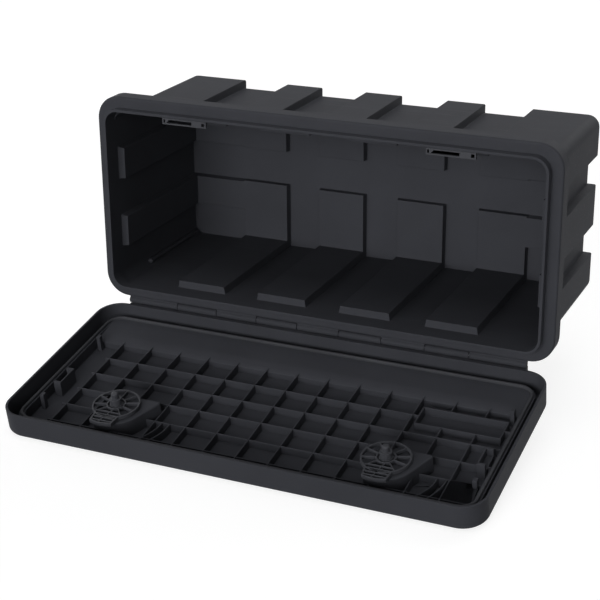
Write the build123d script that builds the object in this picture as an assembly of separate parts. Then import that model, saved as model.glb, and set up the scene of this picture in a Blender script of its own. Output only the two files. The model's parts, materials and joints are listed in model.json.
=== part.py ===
from build123d import *

import os
from math import acos, atan2, cos, hypot, pi, radians, sin, tan

# Plastic vehicle toolbox with a drop-down tray door, shown open.
# Millimetres. X runs along the front, +Y to the back and +Z up.
# The origin is the middle of the outer back face, where the box is fixed to a vehicle.
# The door and its latches are modelled closed, then turned about the hinge to the open pose.

# Box body
BODY_WIDTH = 761.0
BODY_HEIGHT = 307.0
BODY_DEPTH = 294.0
BODY_WALL = 3.5
BODY_EDGE_RADIUS = 20.0
BODY_BACK_RADIUS = 5.0

# Corrugations: grooves outside, raised pads inside
GROOVE_COLUMNS = 4
GROOVE_FLOOR_WIDTH = 79.0
GROOVE_DEPTH = 12.5
GROOVE_DRAFT = 2.5
GROOVE_START = 24.0
TOP_GROOVE_START = 48.0
END_LAND = 116.0
PLAIN_BAND_HEIGHT = 70.0
SIDE_GROOVE_HEIGHT = 46.0
CORNER_BEAD_RADIUS = 4.0
CORNER_BEAD_LIFT = 2.2
CORNER_BEAD_START = 100.0

# Front flange, neck and sealing lip
FLANGE_SIDE = 19.5
FLANGE_BELOW = 19.0
FLANGE_ABOVE = 28.0
FLANGE_DEPTH = 30.0
FLANGE_WALL = 4.0
FLANGE_CORNER_RADIUS = 40.0
FLANGE_EDGE_RADIUS = 4.0
NECK_RISE = 9.0
NECK_DEPTH = 16.0
OPENING_RADIUS = 22.0
LIP_WALL = 4.5
LIP_HEIGHT = 15.0

# Hinge along the bottom of the flange
OPEN_ANGLE = 100.0
KNUCKLE_COUNT = 9
KNUCKLE_RADIUS = 6.0
KNUCKLE_GAP = 1.0
KNUCKLE_END_EXTRA = 19.5
HINGE_INSET = 43.0
HINGE_SETBACK = 5.3
HINGE_DROP = 7.0
HINGE_WEB_FRONT = 3.0
HINGE_ARM_DEPTH = 9.0
HINGE_STOP_GAP = 0.3
HINGE_STRIP_CLEARANCE = 0.7
PIN_RADIUS = 2.0
PIN_CLEARANCE = 0.05
PIN_PLUG_LENGTH = 8.0
PIN_PLUG_CLEARANCE = 0.02

# Door tray
DOOR_GAP = 0.5
DOOR_RISE = 2.5
DOOR_DEPTH = 42.0
DOOR_SKIRT = 4.0
DOOR_SKIN = 3.5
DOOR_EDGE_RADIUS = 8.0
LEDGE_BESIDE_SEAL = 2.5
LEDGE_TOP = 19.5
SHELF_LENGTH = 64.5
SHELF_BAND = 12.0
SHELF_SLOPE = 4.0
SHELF_SHOULDER = 60.0
SHELF_FOOT_SLOPE = 27.0
RIB_COUNT = 13
RIB_TOP = 24.5
RIB_THICKNESS = 2.0
ROW_RIB_PITCH = 46.0
ROW_RIB_OVERHANG = 8.0
ARC_RIB_GAP = 33.0
ARC_RIB_STEP = 14.0
FIELD_WIDTH = 134.0
FIELD_HEIGHT = 41.0
FIELD_INSET = 38.0
FIELD_FROM_SHELF = 24.0
POST_INSET = 12.0
POST_WIDTH = 7.0
POST_LENGTH = 9.0
POST_TOP = 11.0
POST_FROM_SHELF = 8.0
POST_SPACING = 180.0
BRACKET_LENGTH = 45.0
BRACKET_FROM_POST = 36.0
BRACKET_WIDTH = 13.0
BRACKET_PLATE = 2.5
BRACKET_ARM = 5.0
BRACKET_TOP = 12.0
BRACKET_INSET = 16.0

# Seal in the ledge of the door
SEAL_WIDTH = 5.0
SEAL_SEAT_DEPTH = 4.0
SEAL_GAP = 0.5
SEAL_EDGE_RADIUS = 2.4
SEAL_CLEARANCE = 0.05

# Keepers under the top of the lip
KEEPER_WIDTH = 80.0
KEEPER_HEIGHT = 10.5
KEEPER_THICKNESS = 5.5
KEEPER_TAB = 2.0
KEEPER_FRAME = 2.5
KEEPER_WINDOW_LENGTH = 46.0
KEEPER_WINDOW_SLANT = 5.0
KEEPER_HOLE = 5.5
KEEPER_CLEARANCE = 0.5
SCREW_RADIUS = 1.5
SCREW_LENGTH = 8.0
SCREW_HEAD_RADIUS = 3.0
SCREW_HEAD_HEIGHT = 2.0
SCREW_INSET = 6.0
SCREW_SETBACK = 7.0
SCREW_CLEARANCE = 0.02

# Turn latches
LATCH_INSET = 149.0
LATCH_DROP = 58.5
CAM_THICKNESS = 6.0
CAM_PLATE = 1.4
CAM_HEAD_RADIUS = 38.5
CAM_RIM = 2.6
CAM_SPOKES = 9
CAM_RIB = 1.6
CAM_HUB_RADIUS = 10.5
CAM_COLLAR_RADIUS = 15.5
CAM_COLLAR_WALL = 2.2
CAM_ARM_ROOT = 50.0
CAM_ARM_TIP = 38.0
CAM_ARM_SECTOR = 80.0
CAM_ARM_RIBS = 4
CAM_ARM_SLANT = 12.0
CAM_TIP_CLEARANCE = 1.5
SQUARE_SIDE = 9.8
SQUARE_CLEARANCE = 0.1
SPINDLE_RADIUS = 7.0
SPINDLE_CLEARANCE = 0.05
THREAD_RADIUS = 4.0
THREAD_LENGTH = 15.0
THREAD_CLEARANCE = 0.03
NUT_COLLAR_RADIUS = 9.5
NUT_COLLAR_HEIGHT = 10.0
NUT_CAP_RADIUS = 6.0
NUT_CAP_HEIGHT = 10.0
NUT_CAP_ROUNDING = 3.0
BUSH_WALL = 3.0
BUSH_FLANGE_RADIUS = 15.0
BUSH_FLANGE = 1.3
BUSH_CLEARANCE = 0.05
BUSH_TO_CAM = 0.2

# Handle cups, handles and key barrels
CUP_WALL = 3.0
CUP_LEFT = 23.0
CUP_RIGHT = 61.0
CUP_BELOW = 34.0
CUP_CORNER_RADIUS = 4.0
CUP_TOP_ROUNDING = 2.5
CUP_RIM_WIDTH = 4.0
CUP_RIM_THICKNESS = 1.5
CUP_CLEARANCE = 0.1
CUP_TO_KEEPER = 2.5
WASHER_RADIUS = 13.0
WASHER_THICKNESS = 2.0
WASHER_TO_HANDLE = 0.3
WASHER_CLEARANCE = 0.3
HANDLE_HUB_RADIUS = 17.0
HANDLE_WIDTH = 18.0
HANDLE_THICKNESS = 14.0
HANDLE_BELOW_FACE = 3.0
HANDLE_CLEARANCE = 2.5
HANDLE_ROUNDING = 2.0
SOCKET_DEPTH = 9.0
BARREL_RADIUS = 8.0
BARREL_LENGTH = 8.0
BARREL_CLEARANCE = 0.05
KEY_SLOT_LENGTH = 8.0
KEY_SLOT_WIDTH = 1.6
KEY_SLOT_DEPTH = 5.0

CUT = 1.0

# Places on the box
RIM_Y = -BODY_DEPTH
BODY_TOP = BODY_HEIGHT / 2
BODY_BOTTOM = -BODY_HEIGHT / 2
OPENING_WIDTH = BODY_WIDTH - 2 * BODY_WALL
OPENING_BOTTOM = BODY_BOTTOM + BODY_WALL
OPENING_TOP = BODY_TOP - BODY_WALL + NECK_RISE
FLANGE_WIDTH = BODY_WIDTH + 2 * FLANGE_SIDE
FLANGE_BOTTOM = BODY_BOTTOM - FLANGE_BELOW
FLANGE_TOP = BODY_TOP + FLANGE_ABOVE
LIP_FRONT_Y = RIM_Y - LIP_HEIGHT

# Places on the hinge
HINGE_Y = RIM_Y + HINGE_SETBACK
HINGE_Z = FLANGE_BOTTOM - HINGE_DROP
HINGE_LENGTH = FLANGE_WIDTH - 2 * HINGE_INSET
KNUCKLE_PITCH = (HINGE_LENGTH - 2 * KNUCKLE_END_EXTRA) / KNUCKLE_COUNT
HINGE_AXIS = Axis((0, HINGE_Y, HINGE_Z), (1, 0, 0))

# Places on the closed door, with its depths measured outwards from its inner edge
DOOR_Y = RIM_Y - DOOR_GAP
DOOR_FACE_Y = DOOR_Y - DOOR_DEPTH
DOOR_FLOOR_Y = DOOR_FACE_Y + DOOR_SKIN
DOOR_ROOT_Y = DOOR_FLOOR_Y - DOOR_SKIN / 2
DOOR_TOP = FLANGE_TOP + DOOR_RISE
SEAL_INSIDE = (LIP_WALL - SEAL_WIDTH) / 2
SEAL_OUTSIDE = SEAL_INSIDE + SEAL_WIDTH
SEAL_TOP_Y = LIP_FRONT_Y - SEAL_GAP
LEDGE_Y = DOOR_Y - LEDGE_TOP
SHELF_BAND_Z = OPENING_BOTTOM + SHELF_BAND
SHELF_FOOT_Z = OPENING_BOTTOM + SHELF_LENGTH

# Places on the closed latches
KEEPER_FRONT_Y = LIP_FRONT_Y - SEAL_GAP
KEEPER_BACK_Y = KEEPER_FRONT_Y + KEEPER_THICKNESS
CAM_UNDER_Y = KEEPER_BACK_Y + KEEPER_CLEARANCE
CAM_TOP_Y = CAM_UNDER_Y + CAM_THICKNESS
CAM_REACH = LATCH_DROP - KEEPER_TAB - CAM_TIP_CLEARANCE
CUP_TOP_Y = CAM_UNDER_Y - BUSH_TO_CAM - BUSH_FLANGE
CUP_ROOF_Y = CUP_TOP_Y - CUP_WALL
WASHER_Y = CUP_ROOF_Y - WASHER_THICKNESS
HUB_Y = WASHER_Y - WASHER_TO_HANDLE
HANDLE_FACE_Y = DOOR_FACE_Y + HANDLE_BELOW_FACE
CUP_RADIUS = LATCH_DROP - KEEPER_HEIGHT - CUP_TO_KEEPER
HANDLE_REACH = CUP_RADIUS - CUP_WALL - HANDLE_CLEARANCE
LATCH_X = OPENING_WIDTH / 2 - LATCH_INSET
LATCH_Z = OPENING_TOP - LATCH_DROP


def prism(sketch, y_front, y_back):
    """Extrude a sketch drawn in X and Z from one depth to another."""
    plane = Plane((0, y_back, 0), x_dir=(1, 0, 0), z_dir=(0, -1, 0))
    return extrude(plane * sketch, y_back - y_front)


def slab(width, z_low, z_high, radius, y_front, y_back):
    """A rounded rectangle, centred in X, between two depths."""
    outline = Pos(0, (z_low + z_high) / 2) * RectangleRounded(width, z_high - z_low, radius)
    return prism(outline, y_front, y_back)


def block(x_low, x_high, y_low, y_high, z_low, z_high):
    """A plain block between limits."""
    middle = Pos((x_low + x_high) / 2, (y_low + y_high) / 2, (z_low + z_high) / 2)
    return middle * Box(x_high - x_low, y_high - y_low, z_high - z_low)


def disc(x, z, radius, y_front, y_back):
    """A round piece whose axis runs front to back."""
    return prism(Pos(x, z) * Circle(radius), y_front, y_back)


def rod(radius, x_low, x_high, y, z):
    """A round piece whose axis runs along X."""
    plane = Plane((x_low, y, z), x_dir=(0, 1, 0), z_dir=(1, 0, 0))
    return extrude(plane * Circle(radius), x_high - x_low)


def opening_slab(grow, y_front, y_back):
    """The outline of the box opening, grown by an amount, between two depths."""
    return slab(
        OPENING_WIDTH + 2 * grow,
        OPENING_BOTTOM - grow,
        OPENING_TOP + grow,
        OPENING_RADIUS + grow,
        y_front,
        y_back,
    )


def opening_ring(grow_inside, grow_outside, y_front, y_back):
    """A ring that follows the outline of the box opening."""
    ring = opening_slab(grow_outside, y_front, y_back)
    return ring - opening_slab(grow_inside, y_front - CUT, y_back + CUT)


def trough(start, run, out, length, floor_width, grow):
    """A drafted channel along a run, open on its outer side, grown by an amount."""
    floor_half = floor_width / 2 + grow
    mouth_half = floor_half + GROOVE_DRAFT
    mouth = GROOVE_DEPTH + grow
    outline = Polygon(
        (-floor_half, 0),
        (floor_half, 0),
        (mouth_half, mouth),
        (mouth_half, mouth + GROOVE_DEPTH),
        (-mouth_half, mouth + GROOVE_DEPTH),
        (-mouth_half, mouth),
        align=None,
    )
    plane = Plane(start, x_dir=Vector(*out).cross(Vector(*run)), z_dir=run)
    return extrude(plane * outline, length)


def grooves(grow):
    """All corrugations: outside grooves with no growth, inside pads when grown by the wall."""
    depth = GROOVE_DEPTH + grow
    start = RIM_Y + GROOVE_START - grow
    top_start = RIM_Y + TOP_GROOVE_START - grow
    band_half = PLAIN_BAND_HEIGHT / 2 - grow
    run_up = BODY_TOP + GROOVE_DEPTH - band_half
    side_z = PLAIN_BAND_HEIGHT / 2 + GROOVE_DRAFT + SIDE_GROOVE_HEIGHT / 2
    pitch = (BODY_WIDTH - 2 * END_LAND - GROOVE_FLOOR_WIDTH) / (GROOVE_COLUMNS - 1)
    columns = [(i - (GROOVE_COLUMNS - 1) / 2) * pitch for i in range(GROOVE_COLUMNS)]
    cutters = []
    for x in columns:
        for up, near in ((1, top_start), (-1, start)):
            face = (x, near, up * (BODY_TOP - depth))
            back = (x, -depth, up * band_half)
            run_back = -near + GROOVE_DEPTH
            cutters.append(trough(face, (0, 1, 0), (0, 0, up), run_back, GROOVE_FLOOR_WIDTH, grow))
            cutters.append(trough(back, (0, 0, up), (0, 1, 0), run_up, GROOVE_FLOOR_WIDTH, grow))
    run_back = -start + GROOVE_DEPTH
    run_side = BODY_WIDTH / 2 + GROOVE_DEPTH - columns[-1]
    for side in (1, -1):
        for z in (side_z, -side_z):
            face = (side * (BODY_WIDTH / 2 - depth), start, z)
            back = (side * columns[-1], -depth, z)
            cutters.append(trough(face, (0, 1, 0), (side, 0, 0), run_back, SIDE_GROOVE_HEIGHT, grow))
            cutters.append(trough(back, (side, 0, 0), (0, 1, 0), run_side, SIDE_GROOVE_HEIGHT, grow))
    return cutters


def knuckles(first):
    """The spans along X of every second hinge knuckle, counted from the left."""
    edges = [(i - KNUCKLE_COUNT / 2) * KNUCKLE_PITCH for i in range(KNUCKLE_COUNT + 1)]
    edges[0] = -HINGE_LENGTH / 2
    edges[-1] = HINGE_LENGTH / 2
    spans = list(zip(edges[:-1], edges[1:]))
    return [(low + KNUCKLE_GAP / 2, high - KNUCKLE_GAP / 2) for low, high in spans[first::2]]


def hinge_bore():
    """The hole along the whole hinge for its pin."""
    half = HINGE_LENGTH / 2
    return rod(PIN_RADIUS + PIN_CLEARANCE, -half - CUT, half + CUT, HINGE_Y, HINGE_Z)


def screw_places():
    """Where the keeper screws stand: two for each keeper."""
    reach = KEEPER_WIDTH / 2 - SCREW_INSET
    return [(side * LATCH_X + end * reach, RIM_Y + SCREW_SETBACK) for side in (-1, 1) for end in (-1, 1)]


def make_box_shell():
    """The moulded box with flange, neck, lip and its hinge knuckles."""
    body = slab(BODY_WIDTH, BODY_BOTTOM, BODY_TOP, BODY_EDGE_RADIUS, RIM_Y, 0)
    body = fillet(body.faces().sort_by(Axis.Y)[-1].edges(), BODY_BACK_RADIUS)
    body -= grooves(0)
    flange_back = RIM_Y + FLANGE_DEPTH
    flange = slab(FLANGE_WIDTH, FLANGE_BOTTOM, FLANGE_TOP, FLANGE_CORNER_RADIUS, RIM_Y, flange_back)
    flange = fillet(flange.faces().sort_by(Axis.Y)[0].edges(), FLANGE_EDGE_RADIUS)
    flange -= slab(
        FLANGE_WIDTH - 2 * FLANGE_WALL,
        FLANGE_BOTTOM + FLANGE_WALL,
        FLANGE_TOP - FLANGE_WALL,
        FLANGE_CORNER_RADIUS - FLANGE_WALL,
        RIM_Y + FLANGE_WALL,
        flange_back + CUT,
    )
    shell = body + flange
    shell += opening_slab(BODY_WALL, RIM_Y, RIM_Y + NECK_DEPTH + BODY_WALL)
    shell += opening_slab(LIP_WALL, LIP_FRONT_Y, RIM_Y + FLANGE_WALL)

    inside = slab(
        OPENING_WIDTH,
        OPENING_BOTTOM,
        BODY_TOP - BODY_WALL,
        BODY_EDGE_RADIUS - BODY_WALL,
        RIM_Y + NECK_DEPTH / 2,
        -BODY_WALL,
    )
    inside = fillet(inside.faces().sort_by(Axis.Y)[-1].edges(), BODY_BACK_RADIUS - BODY_WALL)
    inside -= grooves(BODY_WALL)
    shell -= inside
    shell -= opening_slab(0, LIP_FRONT_Y - CUT, RIM_Y + NECK_DEPTH)

    bead_inset = (BODY_EDGE_RADIUS - BODY_WALL) * (1 - cos(pi / 4)) + CORNER_BEAD_LIFT
    bead_start = RIM_Y + CORNER_BEAD_START
    bead_end = -BODY_WALL - GROOVE_DEPTH
    for side in (-1, 1):
        bead_x = side * (OPENING_WIDTH / 2 - bead_inset)
        shell += disc(bead_x, OPENING_BOTTOM + bead_inset, CORNER_BEAD_RADIUS, bead_start, bead_end)

    for low, high in knuckles(0):
        shell += rod(KNUCKLE_RADIUS, low, high, HINGE_Y, HINGE_Z)
        web_top = FLANGE_BOTTOM + FLANGE_WALL / 2
        shell += block(low, high, HINGE_Y - HINGE_WEB_FRONT, HINGE_Y + KNUCKLE_RADIUS, HINGE_Z, web_top)
    shell -= hinge_bore()
    for x, y in screw_places():
        hole = Cylinder(SCREW_RADIUS + SCREW_CLEARANCE, BODY_WALL + 2 * CUT)
        shell -= Pos(x, y, OPENING_TOP + BODY_WALL / 2) * hole
    return shell


def make_hinge_pin():
    """The steel pin, shorter than the hinge by a plug at each end."""
    half = HINGE_LENGTH / 2 - KNUCKLE_GAP / 2 - PIN_PLUG_LENGTH
    return rod(PIN_RADIUS, -half, half, HINGE_Y, HINGE_Z)


def make_hinge_pin_plugs():
    """Two plugs that keep the pin in the end knuckles."""
    end = HINGE_LENGTH / 2 - KNUCKLE_GAP / 2
    radius = PIN_RADIUS + PIN_CLEARANCE - PIN_PLUG_CLEARANCE
    left = rod(radius, -end, -end + PIN_PLUG_LENGTH, HINGE_Y, HINGE_Z)
    right = rod(radius, end - PIN_PLUG_LENGTH, end, HINGE_Y, HINGE_Z)
    return Compound(children=[left, right])


def make_keeper(x):
    """A slotted catch plate with a tab that is screwed up under the neck."""
    low = x - KEEPER_WIDTH / 2
    high = x + KEEPER_WIDTH / 2
    bottom = OPENING_TOP - KEEPER_HEIGHT
    keeper = block(low, high, KEEPER_FRONT_Y, KEEPER_BACK_Y, bottom, OPENING_TOP)
    tab_back = RIM_Y + NECK_DEPTH - KEEPER_CLEARANCE
    keeper += block(low, high, KEEPER_FRONT_Y, tab_back, OPENING_TOP - KEEPER_TAB, OPENING_TOP)
    window_low = bottom + KEEPER_FRAME
    window_high = OPENING_TOP - KEEPER_FRAME
    slot_left = low + KEEPER_FRAME
    slot_right = slot_left + KEEPER_HOLE / 2
    window_left = slot_right + KEEPER_FRAME
    window_right = window_left + KEEPER_WINDOW_LENGTH
    hole_right = high - KEEPER_FRAME
    hole_left = hole_right - KEEPER_HOLE
    windows = [
        (slot_left, slot_right, 0),
        (window_left, window_right, KEEPER_WINDOW_SLANT),
        (hole_left, hole_right, 0),
    ]
    for left, right, slant in windows:
        outline = Polygon(
            (left, window_low),
            (right, window_low),
            (right, window_high),
            (left + slant, window_high),
            align=None,
        )
        keeper -= prism(outline, KEEPER_FRONT_Y - CUT, KEEPER_BACK_Y + CUT)
    for screw_x, screw_y in screw_places():
        hole = Cylinder(SCREW_RADIUS + SCREW_CLEARANCE, 2 * KEEPER_TAB + CUT)
        keeper -= Pos(screw_x, screw_y, OPENING_TOP) * hole
    return keeper


def make_keeper_screws():
    """Pan-head screws through the keeper tabs."""
    under_tab = OPENING_TOP - KEEPER_TAB
    screws = []
    for x, y in screw_places():
        shaft = Pos(x, y, under_tab + SCREW_LENGTH / 2) * Cylinder(SCREW_RADIUS, SCREW_LENGTH)
        head = Pos(x, y, under_tab - SCREW_HEAD_HEIGHT / 2) * Cylinder(SCREW_HEAD_RADIUS, SCREW_HEAD_HEIGHT)
        screws.append(shaft + head)
    return Compound(children=screws)


def door_slab(inset, y_front, y_back):
    """The outline of the door, drawn in by an amount, between two depths."""
    return slab(
        FLANGE_WIDTH - 2 * inset,
        FLANGE_BOTTOM + inset,
        DOOR_TOP - inset,
        FLANGE_CORNER_RADIUS - inset,
        y_front,
        y_back,
    )


def cup_outline(x, grow):
    """The plan of a handle cup, grown by an amount: round about its latch, with one corner for fingers."""
    swing = CUP_RADIUS - CUP_CORNER_RADIUS
    left = CUP_LEFT - CUP_CORNER_RADIUS
    right = CUP_RIGHT - CUP_CORNER_RADIUS
    below = CUP_BELOW - CUP_CORNER_RADIUS
    touch = atan2(-below, right) + acos(swing / hypot(right, below))
    tangent = (swing * cos(touch), swing * sin(touch))
    core = Circle(swing) + Polygon((0, 0), (0, -below), (right, -below), tangent, align=None)
    core &= Pos((right - left) / 2, (swing - below) / 2) * Rectangle(left + right, swing + below)
    return Pos(x, LATCH_Z) * offset(core, CUP_CORNER_RADIUS + grow, kind=Kind.ARC)


def shoulder_point(slope, inset):
    """Depth and height where the rounded shoulder of the shelf, drawn in by an amount, has a slope."""
    start = radians(SHELF_SLOPE)
    bend_z = SHELF_FOOT_Z - SHELF_SHOULDER * (sin(radians(SHELF_FOOT_SLOPE)) - sin(start))
    bend_y = LEDGE_Y - (bend_z - SHELF_BAND_Z) * tan(start)
    radius = SHELF_SHOULDER - inset
    y = bend_y - SHELF_SHOULDER * cos(start) + radius * cos(radians(slope))
    z = bend_z - SHELF_SHOULDER * sin(start) + radius * sin(radians(slope))
    return y, z


def shelf_profile(corners, inset, half_width):
    """Extrude along X a profile that ends in the rounded shoulder of the shelf, after its other corners."""
    slopes = (SHELF_SLOPE, (SHELF_SLOPE + SHELF_FOOT_SLOPE) / 2, SHELF_FOOT_SLOPE)
    bend, middle, foot = [shoulder_point(slope, inset) for slope in slopes]
    outline = Polyline(foot, *corners, bend) + ThreePointArc(bend, middle, foot)
    plane = Plane((-half_width, 0, 0), x_dir=(0, 1, 0), z_dir=(1, 0, 0))
    return extrude(plane * make_face(outline), 2 * half_width)


def make_shelf():
    """The shelf beside the hinge: a flat band, a gentle slope and a rounded shoulder."""
    corners = [
        (DOOR_ROOT_Y, SHELF_FOOT_Z),
        (DOOR_ROOT_Y, OPENING_BOTTOM),
        (LEDGE_Y, OPENING_BOTTOM),
        (LEDGE_Y, SHELF_BAND_Z),
    ]
    return shelf_profile(corners, 0, OPENING_WIDTH / 2)


def make_shelf_recess():
    """The hollow behind the shelf, open on the outer face of the door."""
    low = OPENING_BOTTOM + LEDGE_BESIDE_SEAL + SEAL_WIDTH
    bend_y, bend_z = shoulder_point(SHELF_SLOPE, DOOR_SKIN)
    foot_z = shoulder_point(SHELF_FOOT_SLOPE, DOOR_SKIN)[1]
    corners = [
        (DOOR_FACE_Y - CUT, foot_z),
        (DOOR_FACE_Y - CUT, low),
        (bend_y + (bend_z - low) * tan(radians(SHELF_SLOPE)), low),
    ]
    return shelf_profile(corners, DOOR_SKIN, OPENING_WIDTH / 2 - SEAL_WIDTH - LEDGE_BESIDE_SEAL)


def make_ribs():
    """The rib field on the door floor. Its rows start just past the first rib and run to the right wall."""
    top_y = DOOR_Y - RIB_TOP
    pitch = (OPENING_WIDTH + LIP_WALL) / (RIB_COUNT + 1)
    row_start = -(RIB_COUNT - 1) / 2 * pitch - ROW_RIB_OVERHANG
    row_end = OPENING_WIDTH / 2
    thin = RIB_THICKNESS / 2
    ribs = []
    for i in range(RIB_COUNT):
        x = (i - (RIB_COUNT - 1) / 2) * pitch
        ribs.append(block(x - thin, x + thin, DOOR_ROOT_Y, top_y, SHELF_BAND_Z, OPENING_TOP))
    rows = int((OPENING_TOP - RIB_THICKNESS - SHELF_FOOT_Z) / ROW_RIB_PITCH)
    for i in range(rows):
        z = SHELF_FOOT_Z + (i + 1) * ROW_RIB_PITCH
        ribs.append(block(row_start, row_end, DOOR_ROOT_Y, top_y, z - thin, z + thin))
    return ribs


def make_arc_ribs(x):
    """Two arc ribs round a latch, from the level of its axis to the front ledge."""
    ahead = OPENING_TOP - LATCH_Z
    ribs = []
    for i in range(2):
        radius = CUP_RADIUS + ARC_RIB_GAP + i * ARC_RIB_STEP
        ring = Circle(radius + RIB_THICKNESS / 2) - Circle(radius - RIB_THICKNESS / 2)
        corner = Pos(radius, ahead / 2) * Rectangle(2 * radius, ahead)
        ribs.append(prism(Pos(x, LATCH_Z) * (ring & corner), DOOR_ROOT_Y, DOOR_Y - RIB_TOP))
    return ribs


def field_block(grow, y_front):
    """The plain field that the ribs leave free, grown by an amount, from a depth up to the rib tops."""
    high = FLANGE_WIDTH / 2 - FIELD_INSET + grow
    low = FLANGE_WIDTH / 2 - FIELD_INSET - FIELD_WIDTH - grow
    bottom = SHELF_FOOT_Z + FIELD_FROM_SHELF - grow
    top = SHELF_FOOT_Z + FIELD_FROM_SHELF + FIELD_HEIGHT + grow
    return block(low, high, y_front, DOOR_Y - RIB_TOP, bottom, top)


def make_end_fittings(side):
    """Two posts and a bracket at one end of the door. The bracket is a U that opens towards the end wall."""
    post_x = side * (OPENING_WIDTH / 2 - POST_INSET)
    post_y = DOOR_Y - POST_TOP
    thin = POST_WIDTH / 2
    low = SHELF_FOOT_Z + POST_FROM_SHELF
    pieces = []
    for z in (low, low + POST_SPACING):
        near = z - POST_LENGTH / 2
        far = z + POST_LENGTH / 2
        pieces.append(block(post_x - thin, post_x + thin, DOOR_ROOT_Y, post_y, near, far))
    bracket_x = side * (OPENING_WIDTH / 2 - BRACKET_INSET)
    half = BRACKET_WIDTH / 2
    top_y = DOOR_Y - BRACKET_TOP
    far = low + POST_SPACING - BRACKET_FROM_POST
    near = far - BRACKET_LENGTH
    bracket = block(bracket_x - half, bracket_x + half, DOOR_ROOT_Y, top_y, near, far)
    slot_x = bracket_x + side * BRACKET_PLATE
    bracket -= block(
        slot_x - half,
        slot_x + half,
        DOOR_Y - RIB_TOP,
        top_y + CUT,
        near + BRACKET_ARM,
        far - BRACKET_ARM,
    )
    return pieces + [bracket]


def make_door_knuckles():
    """The knuckles of the door with the arms that join them to its skirt."""
    pieces = []
    arm_low = HINGE_Z - KNUCKLE_RADIUS
    for low, high in knuckles(1):
        pieces.append(rod(KNUCKLE_RADIUS, low, high, HINGE_Y, HINGE_Z))
        pieces.append(block(low, high, DOOR_Y - HINGE_ARM_DEPTH, HINGE_Y, arm_low, HINGE_Z))
        arm_top = FLANGE_BOTTOM + DOOR_SKIRT / 2
        pieces.append(block(low, high, DOOR_Y - HINGE_ARM_DEPTH, DOOR_Y, arm_low, arm_top))
    return pieces


def make_hinge_strip():
    """The strip of the door that closes the hinge under the box knuckles, hollowed to clear them."""
    half = HINGE_LENGTH / 2 - KNUCKLE_GAP / 2
    low_z = HINGE_Z - KNUCKLE_RADIUS
    strip = block(-half, half, DOOR_Y - HINGE_ARM_DEPTH, DOOR_Y, low_z, FLANGE_BOTTOM + DOOR_SKIRT / 2)
    radius = KNUCKLE_RADIUS + HINGE_STRIP_CLEARANCE
    for low, high in knuckles(0):
        strip -= rod(radius, low - KNUCKLE_GAP, high + KNUCKLE_GAP, HINGE_Y, HINGE_Z)
    return strip


def make_stop_heels():
    """Flats on the door knuckles that meet the flange when the door is fully open."""
    top = FLANGE_BOTTOM - HINGE_STOP_GAP
    return [block(low, high, HINGE_Y, HINGE_Y + KNUCKLE_RADIUS, HINGE_Z, top) for low, high in knuckles(1)]


def open_door(piece):
    """Turn a piece from the closed door to the open door."""
    return piece.rotate(HINGE_AXIS, OPEN_ANGLE)


def make_door_shell():
    """The shallow door tray with ledge, shelf, ribs, fittings and knuckles."""
    door = door_slab(0, DOOR_FACE_Y, DOOR_Y)
    door = fillet(door.faces().sort_by(Axis.Y)[0].edges(), DOOR_EDGE_RADIUS)
    hollow = door_slab(DOOR_SKIRT, DOOR_FLOOR_Y, DOOR_Y + CUT)
    door -= fillet(hollow.faces().sort_by(Axis.Y)[0].edges(), DOOR_EDGE_RADIUS - DOOR_SKIRT)
    ledge_inside = SEAL_INSIDE - LEDGE_BESIDE_SEAL
    ledge_outside = SEAL_OUTSIDE + LEDGE_BESIDE_SEAL
    ledge = opening_ring(ledge_inside, ledge_outside, DOOR_ROOT_Y, LEDGE_Y)
    inner = [make_shelf(), field_block(RIB_THICKNESS, DOOR_ROOT_Y)]
    inner += make_ribs()
    for side in (-1, 1):
        inner += make_arc_ribs(side * LATCH_X)
        inner += make_end_fittings(side)
    door = door + ledge + inner
    door -= field_block(0, DOOR_FLOOR_Y)
    seat_y = LEDGE_Y - SEAL_SEAT_DEPTH
    door -= opening_ring(SEAL_INSIDE - SEAL_CLEARANCE, SEAL_OUTSIDE + SEAL_CLEARANCE, seat_y, LEDGE_Y + CUT)
    door -= make_shelf_recess()
    for side in (-1, 1):
        door -= prism(cup_outline(side * LATCH_X, CUP_CLEARANCE), DOOR_FACE_Y - CUT, DOOR_Y)
        rim = cup_outline(side * LATCH_X, CUP_RIM_WIDTH + CUP_CLEARANCE)
        door -= prism(rim, DOOR_FACE_Y - CUT, DOOR_FACE_Y + CUP_RIM_THICKNESS)
    door += make_hinge_strip()
    door += make_door_knuckles()
    door = open_door(door)
    door += make_stop_heels()
    return door - hinge_bore()


def make_door_seal():
    """The soft bead in the ledge, opposite the lip."""
    seal = opening_ring(SEAL_INSIDE, SEAL_OUTSIDE, LEDGE_Y - SEAL_SEAT_DEPTH, SEAL_TOP_Y)
    return open_door(fillet(seal.faces().sort_by(Axis.Y)[-1].edges(), SEAL_EDGE_RADIUS))


def make_handle_cup(x):
    """The cup let into the door face that takes the handle and carries the bush."""
    cup = prism(cup_outline(x, 0), DOOR_FACE_Y, CUP_TOP_Y)
    cup = fillet(cup.faces().sort_by(Axis.Y)[-1].edges(), CUP_TOP_ROUNDING)
    cup += prism(cup_outline(x, CUP_RIM_WIDTH), DOOR_FACE_Y, DOOR_FACE_Y + CUP_RIM_THICKNESS)
    cup -= prism(cup_outline(x, -CUP_WALL), DOOR_FACE_Y - CUT, CUP_ROOF_Y)
    bush_hole = SPINDLE_RADIUS + SPINDLE_CLEARANCE + BUSH_WALL + BUSH_CLEARANCE
    cup -= disc(x, LATCH_Z, bush_hole, CUP_ROOF_Y - CUT, CUP_TOP_Y + CUT)
    return open_door(cup)


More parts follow.
